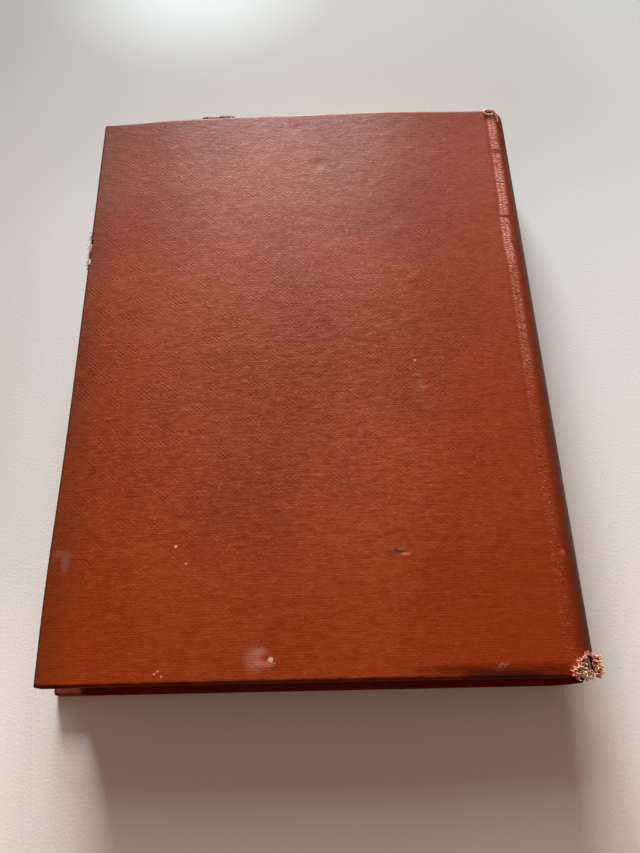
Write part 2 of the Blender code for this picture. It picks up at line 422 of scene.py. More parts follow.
class Field:
    """A value worked out by nodes. A sum written with fields adds the nodes that work it out."""

    def __init__(self, socket):
        self.socket = socket
        self.tree = socket.id_data

    def math(self, operation, *others):
        return put(self.tree, "ShaderNodeMath", self, *others, operation=operation)

    def vector(self, operation, other):
        return put(self.tree, "ShaderNodeVectorMath", self, other, operation=operation)

    def scaled(self, size):
        return put(self.tree, "ShaderNodeVectorMath", self, by_name={"Scale": size}, operation="SCALE")

    def __add__(self, other):
        return self.math("ADD", other)

    def __sub__(self, other):
        return self.math("SUBTRACT", other)

    def __rsub__(self, other):
        return self.math("MULTIPLY_ADD", -1.0, other)

    def __mul__(self, other):
        return self.math("MULTIPLY", other)

    def __truediv__(self, other):
        return self.math("DIVIDE", other)

    __radd__ = __add__
    __rmul__ = __mul__

    def between(self, low, high):
        """0 at low, 1 at high, and smooth between them."""
        return put(self.tree, "ShaderNodeMapRange", self, low, high, interpolation_type="SMOOTHSTEP")

    def band(self, low, full, lower, high):
        """1 within a stretch, falling to 0 on both sides of it."""
        return self.between(low, full) * self.between(high, lower)

    def parts(self):
        """Its x, y and z."""
        return [Field(part) for part in node(self.tree, "ShaderNodeSeparateXYZ", self).outputs]


def feed(socket, value):
    """Gives an input its value, plain or worked out."""
    if isinstance(value, Field):
        value.tree.links.new(value.socket, socket)
    elif value is not None:
        socket.default_value = value


def node(tree, kind, *values, by_name=None, **settings):
    """Adds a node, sets it up, and feeds its inputs, in order and then by name."""
    made = tree.nodes.new(kind)
    for key, value in settings.items():
        setattr(made, key, value)
    for socket, value in zip(made.inputs, values):
        feed(socket, value)
    for name, value in (by_name or {}).items():
        feed(made.inputs[name], value)
    return made


def put(tree, kind, *values, **settings):
    """Adds a node and gives its first output."""
    return Field(node(tree, kind, *values, **settings).outputs[0])


def grain(place, stretch, detail=2, shift=0.0):
    """Noise from 0 to 1, whose lumps are 1/stretch metres long, in each direction or in all."""
    stretch = stretch if isinstance(stretch, tuple) else (stretch,) * 3
    moved = put(place.tree, "ShaderNodeMapping", place, (shift,) * 3, None, stretch)
    return put(place.tree, "ShaderNodeTexNoise", moved, by_name={"Scale": 1, "Detail": detail})


def mixed(share, near, far):
    """One colour shading into another, each worked out or plain."""
    made = node(share.tree, "ShaderNodeMix", share, data_type="RGBA")
    for socket, shade in ((made.inputs[6], near), (made.inputs[7], far)):
        feed(socket, shade if isinstance(shade, Field) else colour(*shade))
    return Field(made.outputs[2])


def stained(base, *stains):
    """Lays stains over a colour in turn, each by where it is, its strength and its shade."""
    for share, strength, shade in stains:
        base = mixed(share * strength, base, shade)
    return base


def ragged(place, amount):
    """How far a spot's edge strays at each place."""
    return (grain(place, (2200, 2600, 2400), 3) - 0.5) * amount


def spot(place, centre, radii, edge, astray):
    """1 inside a patch round a centre, 0 outside it, and smooth across its edge."""
    scaled = place.vector("SUBTRACT", centre).vector("DIVIDE", radii)
    far = Field(node(place.tree, "ShaderNodeVectorMath", scaled, operation="LENGTH").outputs["Value"])
    return 1 - (far + astray).between(1 - edge, 1 + edge)


def new_finish(name, roughness, gloss):
    """A new material, its shader, and the place on the object that its nodes start from."""
    made = bpy.data.materials.new(name)
    made.use_nodes = True
    shader = made.node_tree.nodes["Principled BSDF"]
    shader.inputs["Roughness"].default_value = roughness
    shader.inputs["Metallic"].default_value = 0
    shader.inputs["Specular IOR Level"].default_value = gloss
    place = node(made.node_tree, "ShaderNodeTexCoord").outputs["Object"]
    return made, shader, Field(place)


def surface(shader, base, height, rise):
    """Gives a shader its colour, and its unevenness, this many metres high."""
    feed(shader.inputs["Base Color"], base)
    relief = {"Strength": 1, "Distance": rise, "Height": height}
    feed(shader.inputs["Normal"], put(base.tree, "ShaderNodeBump", by_name=relief))


def dressed(mesh, finish):
    mesh.materials.clear()
    mesh.materials.append(finish)


# marks on the back cover: from the fore-edge, from the tail, half width and half height in
# millimetres, then softness, strength and colour in percent
MARKS = (
    (43.8, 4.6, 1.7, 2.1, 70, 36, (66, 46, 40)),
    (45.8, 3.6, 1.8, 0.7, 60, 42, (72, 46, 38)),
    (45.8, 4.6, 0.7, 0.8, 60, 50, (44, 16, 13)),
    (45.1, 6.0, 1.2, 0.7, 60, 30, (66, 46, 42)),
    (47.1, 4.4, 0.6, 0.7, 35, 60, (34, 22, 15)),
    (47.0, 4.3, 0.5, 0.5, 35, 85, (80, 66, 50)),
    (73.6, 25.8, 1.0, 0.6, 50, 78, (20, 10, 6)),
    (74.0, 26.1, 0.7, 0.3, 50, 60, (48, 42, 29)),
    (74.9, 25.0, 1.0, 0.3, 70, 42, (84, 48, 36)),
    (80.5, 64.5, 1.5, 2.6, 70, 10, (62, 46, 36)),
    (80.2, 66.9, 1.0, 0.4, 50, 30, (68, 46, 36)),
    (80.6, 64.9, 0.7, 0.9, 70, 22, (64, 46, 36)),
    (81.5, 63.8, 1.1, 0.4, 70, 28, (66, 46, 36)),
    (79.9, 66.4, 0.4, 0.3, 50, 60, (38, 11, 7)),
    (80.6, 63.4, 0.4, 0.3, 50, 60, (38, 11, 7)),
    (81.8, 62.8, 0.4, 0.3, 50, 60, (38, 11, 7)),
    (82.8, 65.3, 0.3, 0.3, 50, 60, (38, 11, 7)),
    (79.8, 70.7, 0.3, 0.3, 40, 70, (86, 54, 44)),
    (26.8, 27.8, 0.3, 0.3, 30, 75, (86, 66, 50)),
    (29.2, 24.1, 0.2, 0.2, 30, 75, (86, 66, 50)),
    (24.0, 2.1, 0.2, 0.2, 30, 60, (82, 58, 44)),
    (24.6, 2.6, 0.2, 0.2, 30, 60, (82, 58, 44)),
    (25.4, 1.6, 0.2, 0.2, 30, 60, (82, 58, 44)),
    (3.3, 25.4, 0.8, 2.0, 80, 28, (52, 42, 36)),
    (1.6, 27.2, 0.8, 0.7, 70, 25, (54, 40, 34)),
    (108.3, 26.2, 0.7, 0.5, 30, 75, (24, 7, 4)),
    (107.9, 25.0, 0.8, 0.9, 50, 55, (82, 45, 32)),
    (0.3, 106.8, 0.6, 5.8, 50, 60, (22, 9, 5)),
    (24.1, 147.0, 1.0, 0.7, 40, 80, (36, 7, 5)),
    (66.8, 147.8, 0.4, 0.4, 30, 80, (24, 9, 6)),
    (87.5, 147.8, 0.4, 0.4, 30, 80, (24, 9, 6)),
    (17.8, 102.3, 1.6, 2.0, 70, 20, (38, 20, 15)),
    (92.0, 2.3, 0.3, 0.3, 60, 55, (74, 48, 42)),
    (92.5, 2.7, 0.3, 0.2, 60, 55, (78, 54, 48)),
    (93.0, 2.3, 0.2, 0.3, 60, 55, (74, 48, 42)),
    (93.5, 2.5, 0.3, 0.2, 60, 45, (72, 46, 40)),
    (91.7, 1.8, 1.0, 0.4, 80, 30, (60, 38, 34)),
    (106.5, 1.4, 0.6, 1.1, 50, 70, (82, 44, 34)),
    (107.6, 2.7, 0.6, 0.9, 50, 70, (82, 46, 36)),
    (109.0, 4.1, 0.9, 0.6, 50, 70, (82, 48, 38)),
    (104.3, 144.9, 0.5, 0.8, 50, 70, (26, 8, 5)),
    (105.9, 146.5, 1.3, 1.1, 50, 80, (80, 59, 50)),
    (106.8, 145.3, 0.8, 1.1, 50, 70, (76, 54, 46)),
)
MARK_DEPTH = 0.0012  # a mark colours the cloth this far above and below the cover's face
WARP_PITCH = 0.00059
WEFT_PITCH = 0.000515
RIB_PITCH = 0.00058
LANE = 0.00125  # the width of each row of ribs on the joint's crest
GAP_HALF = 0.0005  # half the width of the two unrubbed gaps across it


def marks(place):
    """Scuffs, chips and specks that the back cover has picked up, as stains."""
    astray = ragged(place, 1.0)
    for along, up, wide, tall, edge, strength, shade in MARKS:
        x = FORE_EDGE + along * MM
        centre = (x, TAIL + up * MM, THICKNESS + bow_at(x))
        patch = spot(place, centre, (wide * MM, tall * MM, MARK_DEPTH), edge / 100, astray)
        yield patch, strength / 100, shade


def woven(place, along, up):
    """Plain weave under the colour: crossings that show as slanting rows, and single threads."""
    x, y, _ = place.parts()
    drift = grain(place, (55, 70, 55), shift=7.0)
    warp = (x + drift * 0.0012) * (math.pi / WARP_PITCH)
    weft = (y + drift * 0.0010) * (math.pi / WEFT_PITCH)
    falling = (warp + weft).math("COSINE")
    rising = (warp - weft).math("COSINE")
    patchy = grain(place, (330, 420, 330), 3, shift=9.0).between(0.42, 0.66)
    patchy *= (1 - up.between(0.070, 0.015) * 0.45) * (1 - up.between(0.095, 0.130) * 0.30)
    crossed = (falling * (along.between(0.080, 0.012) * 0.30 + 0.50) + rising * 0.45) * patchy
    calm = 1 - up.between(0.075, 0.112) * 0.60
    broken = (grain(place, (420, 2900, 420), 3) - 0.5) * calm + 0.5
    slubs = grain(place, (1500, 2400, 1500), shift=3.0)
    drawn = grain(place, (80, 3300, 80), shift=5.6)
    return crossed, (weft * 2).math("COSINE"), broken, slubs, drawn


def rubbed_strip(place, up, depth):
    """The crest of the joint: how far its dye has rubbed off, and the two rows of ribs on it."""
    x, y, _ = place.parts()
    line = y * (-0.0009 / HEIGHT) + 0.04905 - up.band(0.096, 0.104, 0.110, 0.118) * 0.0004
    wobble = grain(place, (500, 1100, 500), 3, shift=2.2) - 0.5
    off = x - line + wobble * 0.0008
    strip = off.band(-0.0006, 0.0005, 0.0021, 0.0028) * depth.between(0.0036, 0.0024)
    level = up.between(0.020, 0.046) * 0.14 + 0.10
    level += up.between(0.055, 0.074) * 0.26 + up.between(0.092, 0.106) * 0.42
    for gap in (0.1335, 0.1120):
        level *= (up - gap).math("ABSOLUTE").between(GAP_HALF * 0.4, GAP_HALF * 1.6)

    lane = (off * (1 / LANE) + 0.25).math("FRACT")
    bend = (lane - 0.55).math("ABSOLUTE") * 5.0
    astray = wobble * (26.0 - level * 13.0)
    rib = (y * (math.tau / RIB_PITCH) + (astray + bend)).math("COSINE")
    patchy = (grain(place, (800, 1100, 800), 4, shift=6.0) + level * 0.16).between(0.46, 0.60)
    patchy *= strip * lane.band(0.0, 0.2, 0.8, 1.0)
    return strip * level, patchy * rib.between(-0.5, 0.6), patchy * rib.between(-0.3, -0.9)


def cloth_finish():
    """Canvas-grained bookcloth, its colour rubbed, soiled and faded, with painted shade at the head, the
    tail and the spine's flank, and a painted patch of light on one corner.
    """
    made, shader, place = new_finish("red_bookcloth", 0.40, 0.2)
    x, y, z = place.parts()
    along, up, depth = x - FORE_EDGE, y - TAIL, THICKNESS - z
    crossed, weft, broken, slubs, drawn = woven(place, along, up)
    cloudy = grain(place, (34, 26, 34), 4, shift=1.7)
    mottled = grain(place, (420, 380, 420), 4, shift=5.2)
    blotchy = grain(place, (640, 820, 640), shift=11.0)
    base = stained(
        mixed(cloudy.between(0.36, 0.64), (50, 18.5, 5.5), (56, 22, 7)),
        (mottled.between(0.50, 0.72), 0.38, (43, 14, 5.5)),
        (blotchy.between(0.54, 0.68), 0.30, (42, 13, 4.5)),
        (blotchy.between(0.46, 0.32), 0.26, (64, 29, 11)),
        (broken.between(0.53, 0.66), 0.32, (37, 11, 4.5)),
        (broken.between(0.46, 0.34), 0.26, (64, 29, 11.5)),
        (weft.between(0.2, -0.9), 0.16, (36, 11, 4.5)),
        (crossed.between(0.15, 0.9), 0.34, (70, 34, 14)),
        (crossed.between(-0.15, -0.9), 0.48, (34, 11, 4)),
        (slubs.between(0.63, 0.75), 0.38, (72, 40, 24)),
        (slubs.between(0.36, 0.27), 0.45, (30, 9, 4)),
        (drawn.between(0.66, 0.72), 0.45, (34, 10, 4)),
        (drawn.between(0.35, 0.29), 0.35, (74, 38, 20)),
    )

    # deeper in colour by the joint and the tail, browner at the fore-edge, darker and bruised at
    # the tail edge, with a line of grime on the fore-edge and a pale rim along the head
    fore_edge = along + mottled * 0.004
    tail_edge = up + grain(place, (260, 400, 260), 3, shift=4.4) * 0.0016
    bruised = (up + grain(place, (160, 300, 160), 3, shift=8.1) * 0.0016).between(0.0030, 0.0018)
    over = depth.between(0.004, 0.002)
    reach = (up - SPREAD_UP) * (1 / SPREAD_REACH)
    inwards = along + (reach * reach * -1.0).math("EXPONENT") * SPREAD
    rim = up.between(HEIGHT - 0.0010, HEIGHT - 0.0005) * along.band(0.046, 0.056, 0.103, 0.109)
    base = stained(
        base,
        (up.between(0.045, 0.003), 0.55, (50, 17, 1)),
        # painted shade: darker along the head, where it holds down the sheen
        (up.between(0.128, 0.147), 0.40, (40, 12, 5)),
        ((y - x).between(0.075, 0.120), 0.40, (42, 19, 10)),
        (x.between(FORE_EDGE + 0.075, COVER_END), 0.45, (49, 15.5, 2.5)),
        (fore_edge.between(0.0120, 0.0010), 0.60, (36, 14, 4.5)),
        (tail_edge.between(0.0018, 0.0007), 0.80, (22, 5, 3)),
        (bruised * along.band(0.082, 0.088, 0.097, 0.109) * over, 0.80, (23, 7.5, 6)),
        (inwards.between(0.0008, 0.0002) * over, 0.70, (24, 9, 5)),
        (rim * over, 0.42, (78, 60, 52)),
        *marks(place),
    )

    # painted shade: below the back cover's face the cloth at the tail (its edges, the lower turned-in
    # cloth and the tail cap) is darkened as if in shade, but for a painted patch of light on the lower
    # cover's corner at the fore-edge
    under = depth.between(0.0012, 0.0030) * up.between(0.0034, 0.0018)
    corner = along.band(-0.0012, 0.0002, 0.0046, 0.0052) * z.band(0.0005, 0.0012, 0.0038, 0.0045)
    base = stained(base, (under, 0.8, (35, 3, 1.5)), (under * corner, 0.85, (50, 25, 18)))

    # painted shade darkens the spine round its curve, where it turns away from the light, and its crest
    # is rubbed pale
    flank = (x - SPINE_START) / (up * ((BULGE_HEAD - BULGE_TAIL) / HEIGHT) + BULGE_TAIL)
    strip, ribs, gaps = rubbed_strip(place, up, depth)
    base = stained(
        base,
        (flank.between(0.25, 0.50), 0.60, (38, 14, 5)),
        (flank.between(0.45, 0.75), 0.80, (27, 13, 7)),
        (strip, 1.0, mixed(strip.between(0.20, 0.70), (58, 24, 13), (63, 33, 27))),
        (gaps, 0.75, (34, 11, 7)),
    )
    bare = mixed(strip.between(0.30, 0.80), (70, 37, 23), (90, 66, 57))
    raised = ribs * (strip * 0.70 + 0.22)
    base = mixed(raised, base, bare)

    dull = cloudy * 0.08 + 0.38 + strip * 0.25 + up.between(0.0009, 0.0002) * 0.4
    feed(shader.inputs["Roughness"], dull)
    gloss = 0.12 + along.between(-0.010, 0.050) * 0.13 - along.between(0.068, 0.095) * 0.07
    gloss -= up.between(0.122, 0.147) * 0.06 + flank.between(0.25, 0.55) * 0.11
    gloss -= up.between(0.035, 0.005) * 0.05 + up.between(HEIGHT - 0.0009, HEIGHT - 0.0003) * 0.15
    proud = crossed * 0.38 + 1.2 - broken.between(0.40, 0.62) * 0.5
    proud += slubs.between(0.58, 0.74) - slubs.between(0.42, 0.30) * 0.45
    proud *= 1 - strip * 0.9
    gloss = gloss.math("MAXIMUM", 0.03) * proud.math("MAXIMUM", 0.1)
    feed(shader.inputs["Specular IOR Level"], gloss)
    shader.inputs["Specular Tint"].default_value = colour(100, 92, 87)
    height = crossed * 0.13 + broken * 0.50 + weft * 0.05 + slubs * 0.40 + raised * 1.2
    surface(shader, base, height + grain(place, 340, shift=6.6) * 1.5, 0.000045)
    return made


def plain_mesh(piece):
    """Turns what the modifiers make into the piece's own mesh, and drops the modifiers."""
    evaluated = piece.evaluated_get(bpy.context.evaluated_depsgraph_get())
    made = bpy.data.meshes.new_from_object(evaluated)
    piece.modifiers.clear()
    piece.data = made
    made.name = piece.name
    return made


def with_joint(piece):
    """Bakes the piece's placing into its mesh."""
    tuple(BACK_BEND[0])
    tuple(BACK_BEND[1])
    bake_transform(piece)


def wrapped(name, back):
    """One half of the case, as cloth with its own thickness."""
    piece = half_case(name, back)
    shell = piece.modifiers.new("cloth thickness", "SOLIDIFY")
    shell.thickness = CLOTH
    shell.offset = -1
    shell.use_even_offset = False
    solid = plain_mesh(piece)
    dressed(solid, case_cloth)
    solid.shade_smooth()
    solid.set_sharp_from_angle(angle=math.radians(50))
    return piece


case_cloth = cloth_finish()

back_cloth = wrapped("case_cloth_back", True)
with_joint(back_cloth)
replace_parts(back_cloth, "back_cover_cloth", "spine_cloth")

front_cloth = wrapped("case_cloth_front", False)
front_bend = ((COVER_END - LEAN - 0.0004, 0, 0), (COVER_END - LEAN + 0.0012, 0, 0))
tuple(front_bend[0])
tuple(front_bend[1])
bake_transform(front_cloth)
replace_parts(front_cloth, "front_cover_cloth")


# ---- Boards and spine inlay ----
# Grey-brown strawboard, cut a little smaller than the cloth's folds, and a strip of the same
# card down the spine. They are glued inside the cloth, and show only where it has torn.

TEAR_SHADE = (0.8, (30, 15, 10))  # painted shade inside the torn tail cap, strength and colour


def by_tear(place):
    """1 at the tail, where the cloth has torn, and 0 above it."""
    return (place.parts()[1] - TAIL).between(0.0075, 0.0045)


board_card, shader, place = new_finish("strawboard", 0.9, 0.2)
fleck = grain(place, (1500, 1500, 2600), 4)
base = mixed(fleck.between(0.35, 0.7), (60, 50, 38), (42, 35, 27))
on_spine = place.parts()[0].between(SPINE_START - 0.001, SPINE_START)
# painted shade darkens the card by the tear
surface(shader, stained(base, (by_tear(place) * on_spine, *TEAR_SHADE)), fleck, 0.00006)
for name in ("back_board", "front_board", "spine_inlay"):
    dressed(frame["nodes"][name].data, board_card)


# ---- Spine linings ----
# Open mull and a strip of brown paper, glued to the rounded back of the leaves.

brown_paper, shader, place = new_finish("lining_paper", 0.9, 0.2)
fleck = grain(place, 900, 4)
base = mixed(fleck, (66, 56, 42), (52, 42, 31))
# painted shade darkens the paper by the tear
surface(shader, stained(base, (by_tear(place), *TEAR_SHADE)), fleck, 0.00004)
dressed(frame["nodes"]["paper_lining"].data, brown_paper)

mull_gauze, shader, place = new_finish("mull_gauze", 0.95, 0.2)
weave = grain(place, (4000, 300, 4000), 1) * grain(place, (300, 4000, 300), 1, shift=2.0)
base = mixed(weave.between(0.15, 0.35), (50, 44, 34), (83, 78, 67))
surface(shader, base, weave, 0.00008)
dressed(frame["nodes"]["mull"].data, mull_gauze)


# ---- Pastedowns ----
# A sheet of cream paper glued inside each cover, over the turned-in cloth, whose far edge runs on
# across the joint to the shoulder of the leaves.

PASTE_MARGIN = 0.0032  # of the cover's turned-in cloth left showing round the paper
PASTE_STEP = 0.0011  # between rows and columns of the sheet's mesh
PAPER = 0.00011
PASTE_SHALLOW = COVER - 0.00036  # where the paper lies on the board
PASTE_DEEP = COVER + 0.00002  # and where it lies on the turned-in cloth

# the paper's way from the cover across the joint to the first leaf, as x from the end of the
# cover's cloth and z under the cover's face, in millimetres
HINGE_WAY = (
    (-0.50, 2.15), (-0.38, 1.90), (-0.30, 1.10), (-0.12, 1.00), (0.18, 1.00),
    (0.31, 1.15), (0.38, 1.65), (0.32, 2.00), (0.12, 2.25), (-0.28, 2.52),
)

endpaper, shader, place = new_finish("aged_endpaper", 0.85, 0.2)
fleck = grain(place, (700, 900, 700), 5)
age = grain(place, (28, 22, 28), 3, shift=4.0)
base = mixed(age.between(0.30, 0.75), (87, 81, 70), (82, 74, 60))
surface(shader, stained(base, (fleck, 0.2, (70, 60, 45))), fleck, 0.00002)


def closed_sheet(name, under, over):
    """A thin closed sheet between two grids of places of the same shape."""
    work = bmesh.new()
    rows, columns = len(under), len(under[0])
    low = [[work.verts.new(p) for p in row] for row in under]
    high = [[work.verts.new(p) for p in row] for row in over]
    for j in range(rows - 1):
        for i in range(columns - 1):
            work.faces.new((low[j][i], low[j + 1][i], low[j + 1][i + 1], low[j][i + 1]))
            work.faces.new((high[j][i], high[j][i + 1], high[j + 1][i + 1], high[j + 1][i]))
    rim = [(0, i) for i in range(columns)] + [(j, columns - 1) for j in range(1, rows)]
    rim += [(rows - 1, i) for i in range(columns - 2, -1, -1)]
    rim += [(j, 0) for j in range(rows - 2, 0, -1)]
    for (j1, i1), (j2, i2) in zip(rim, rim[1:] + rim[:1]):
        work.faces.new((low[j1][i1], low[j2][i2], high[j2][i2], high[j1][i1]))
    bmesh.ops.recalc_face_normals(work, faces=work.faces[:])
    made = built(name, work)
    made.data.shade_smooth()
    made.data.set_sharp_from_angle(angle=math.radians(40))
    return made


def paste_depth(x, y, lean):
    """Under the cover's face: shallow in the middle, and deeper where it lies on the turn-in."""
    from_edge = min(x - lean - FORE_EDGE, y - TAIL, HEAD - y)
    return blend(smooth((from_edge - TURN_IN + 0.0006) / 0.0014), PASTE_DEEP, PASTE_SHALLOW)


def pasted(name, back):
    lean = 0 if back else -LEAN
    end = COVER_END + lean
    xs = [FORE_EDGE + lean + PASTE_MARGIN + PASTE_STEP * i for i in range(92)]
    xs = [x for x in xs if x < end - 0.0009] + [end - 0.0008]
    ys = [TAIL + PASTE_MARGIN + PASTE_STEP * i for i in range(129)]
    ys = [y for y in ys if y < HEAD - PASTE_MARGIN - 0.0005] + [HEAD - PASTE_MARGIN]
    sides = []
    for thick in (0, PAPER):
        rows = []
        for y in ys:
            way = [(x, paste_depth(x, y, lean) - (bow_at(x) if back else 0)) for x in xs]
            start = way[-1][1]
            for i, (along, depth) in enumerate(HINGE_WAY):
                down = max(depth * MM, start) if i == 0 else depth * MM
                way.append((end + along * MM - (thick if 2 < i < 8 else 0), down))
            deep = [(x, depth + thick) for x, depth in way]
            rows.append([Vector((x, y, THICKNESS - z if back else z)) for x, z in deep])
        sides.append(rows)
    made = closed_sheet(name, *(sides[::-1] if back else sides))
    dressed(made.data, endpaper)
    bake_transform(made)
    return made


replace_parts(pasted("back_endpaper", True), "back_pastedown")
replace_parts(pasted("front_endpaper", False), "front_pastedown")


# ---- Leaves ----
# Thin leaves of aged paper in folded gatherings, sewn and rounded at the back: 92 cards stand for
# the book's several hundred. Their shoulders spread at the joints, and their fore-edge is hollow.

LEAVES = 92
GATHERING = 8  # cards between one fold at the back and the next
LEAF_SEED = 2
TRIM = 0.00022  # how unevenly the leaves are cut
PAGE_LOW = COVER + 0.0003
PAGE_HIGH = THICKNESS - COVER - 0.0003
PAGES_LOW, PAGES_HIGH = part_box("pages")
SWELL = PAGE_LOW - PAGES_LOW.z  # how far the shoulders spread
SHOULDER_HALF = 0.0007
HOLLOW = 0.0015
FOLD_NOTCH = 0.00035  # how far the back dips between one gathering and the next
COCKLE = 0.0006  # how far the leaves wave
LEAF_EDGE = FORE_EDGE + 0.0050
LEAF_INSET = 0.0030  # of the leaves' rounded back inside the cloth's


def stored(tree, name):
    """A value kept on the mesh, for a finish."""
    return Field(node(tree, "ShaderNodeAttribute", attribute_name=name).outputs["Fac"])


leaf_paper, shader, place = new_finish("leaf_paper", 0.9, 0.15)
x, y, z = place.parts()
near_fore = x.between(PAGES_LOW.x + 0.0050, PAGES_LOW.x)
near_head = y.between(PAGES_HIGH.y - 0.0040, PAGES_HIGH.y)
near_tail = y.between(PAGES_LOW.y + 0.0030, PAGES_LOW.y)
browned = near_fore.math("MAXIMUM", near_head.math("MAXIMUM", near_tail))
browned *= grain(place, (90, 90, 500), 3, shift=4.0) * 0.6 + 0.15
base = mixed(stored(place.tree, "tone"), (87, 82, 71), (79, 72, 58))
surface(shader, mixed(browned, base, (60, 46, 29)), grain(place, 1400, 3), 0.00001)


def new_tree(name):
    """An empty tree that turns one shape into another."""
    tree = bpy.data.node_groups.new(name, "GeometryNodeTree")
    for way in ("INPUT", "OUTPUT"):
        tree.interface.new_socket("Geometry", in_out=way, socket_type="NodeSocketGeometry")
    return tree


def any_number(tree, low, high, seed):
    """A number drawn at random for each point. The node's vector inputs and output come first."""
    draw = {"Seed": seed}
    made = node(tree, "FunctionNodeRandomValue", None, None, low, high, by_name=draw, data_type="FLOAT")
    return Field(made.outputs[1])


def kept(shape, name, value):
    """The shape, with a value kept on each of its points under a name."""
    what = {"Name": name, "Value": value}
    return put(shape.tree, "GeometryNodeStoreNamedAttribute", shape, by_name=what, data_type="FLOAT")


def named(tree, name, kind="FLOAT"):
    return put(tree, "GeometryNodeInputNamedAttribute", name, data_type=kind)


def moved(shape, **by_name):
    return put(shape.tree, "GeometryNodeSetPosition", shape, by_name=by_name)


def grown(name, mesh, shape, finish):
    """A piece with the mesh that the shape's tree makes of a plain one, in one finish."""
    tree = shape.tree
    whole = put(tree, "GeometryNodeRealizeInstances", shape)
    done = put(tree, "GeometryNodeSetMaterial", whole, by_name={"Material": finish})
    node(tree, "NodeGroupOutput", done)
    piece = placed(name, mesh)
    piece.modifiers.new("grown", "NODES").node_group = tree
    plain_mesh(piece)
    return piece


def stacked():
    """Thin cards in a stack, each bent by its level in the block."""
    tree = new_tree("stack of leaves")
    card = put(tree, "GeometryNodeMeshCube", (1, 1, 1), 30, 9, 2)
    spots = kept(put(tree, "GeometryNodePoints", LEAVES), "leaf", put(tree, "GeometryNodeInputIndex"))
    for name, salt in (("tone", 3), ("short", 5), ("narrow", 7)):
        spots = kept(spots, name, any_number(tree, 0.0, 1.0, LEAF_SEED + salt))
    spots = kept(spots, "loose", any_number(tree, -0.12, 0.12, LEAF_SEED + 9))
    stack = put(tree, "GeometryNodeInstanceOnPoints", spots, by_name={"Instance": card})
    flat = put(tree, "GeometryNodeRealizeInstances", stack)
    leaf = named(tree, "leaf")

    u, v, w = put(tree, "GeometryNodeInputPosition").parts()
    across = 1 - (0.5 - u).math("MAXIMUM", 0.0).math("POWER", 1.8)
    level = (leaf + named(tree, "loose") + ((w + 0.5) * 0.66 + 0.17)) / LEAVES
    q = level * 2 - 1
    arc = 1 - q * q
    left = LEAF_EDGE + arc * HOLLOW + named(tree, "narrow") * TRIM
    bulge = (v + 0.5) * (BULGE_HEAD - BULGE_TAIL) + (BULGE_TAIL - LEAF_INSET)
    fold = (leaf / GATHERING).math("FRACT") * 2 - 1
    notch = fold.math("ABSOLUTE").math("POWER", 3.0) * FOLD_NOTCH
    right = SPINE_START + bulge * arc.math("MAXIMUM", 0.0).math("SQRT") - notch
    x = left + across * (right - left)
    y = v * 2 * (PAGES_HIGH.y - named(tree, "short") * TRIM)
    spread = x.between(SPINE_START - SHOULDER_HALF, SPINE_START + SHOULDER_HALF)
    z = PAGE_LOW + level * (PAGE_HIGH - PAGE_LOW) + spread * q * q.math("ABSOLUTE") * SWELL
    rise = (x - FORE_EDGE).between(0.0, BOW_RUN)
    fall = (COVER_END - x).between(0.0, BOW_FALL)
    z += rise * fall * level * level * BOW
    where = put(tree, "ShaderNodeCombineXYZ", x * 45, y * 38, leaf * 0.13)
    cockle = put(tree, "ShaderNodeTexNoise", where, by_name={"Scale": 1, "Detail": 1})
    z += (cockle - 0.5) * COCKLE * arc
    x -= LEAN * (1 - z / THICKNESS)
    return moved(flat, Position=put(tree, "ShaderNodeCombineXYZ", x, y, z))


leaves = grown("leaves", bpy.data.meshes.new("leaves"), stacked(), leaf_paper)
leaves.data.shade_flat()
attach(leaves, "text_block")
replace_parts(leaves, "pages")


# ---- Frayed threads ----
# Where the cloth has worn, its threads stand out, some dyed and some bare: along the joint's
# crest, round the torn tail cap, and at places on the head edge and the fore-edge. Each run of
# threads follows a path on the cloth.

def cotton(name, *shades, tips):
    """Soft thread, of one shade or another from thread to thread, paler at its end."""
    made, shader, place = new_finish(name, 0.9, 0.1)
    which = stored(place.tree, "shade")
    base = shades[0]
    for i, shade in enumerate(shades[1:], 1):
        step = i / len(shades)
        base = mixed(which.between(step - 0.05, step + 0.05), base, shade)
    fuzz = grain(place, 5200)
    tip = stored(place.tree, "along").between(0.35, 1.0)
    base = stained(base, (tip, 0.7, tips), (fuzz, 0.35, [c * 0.6 for c in shades[0]]))
    surface(shader, base, fuzz, 0.00004)
    return made


# three shades of thread, and then the shade of their tips
pale_cotton, red_cotton, salmon, cream, peach, mauve, rust = [
    cotton(name, *shades, tips=tips)
    for name, *shades, tips in (
        ("rubbed_thread", (72, 42, 36), (64, 32, 26), (80, 54, 48), (84, 64, 58)),
        ("dyed_thread", (60, 26, 15), (55, 21, 11), (68, 36, 24), (70, 40, 28)),
        ("torn_thread_salmon", (82, 52, 43), (86, 65, 54), (70, 36, 28), (92, 77, 68)),
        ("torn_thread_cream", (88, 74, 58), (92, 78, 64), (74, 56, 42), (97, 89, 78)),
        ("torn_thread_peach", (84, 51, 36), (90, 70, 54), (64, 28, 18), (95, 81, 68)),
        ("torn_thread_mauve", (62, 42, 40), (72, 52, 48), (48, 30, 28), (80, 66, 60)),
        ("torn_thread_rust", (54, 20, 12), (72, 46, 26), (44, 13, 9), (78, 58, 36)),
    )
]


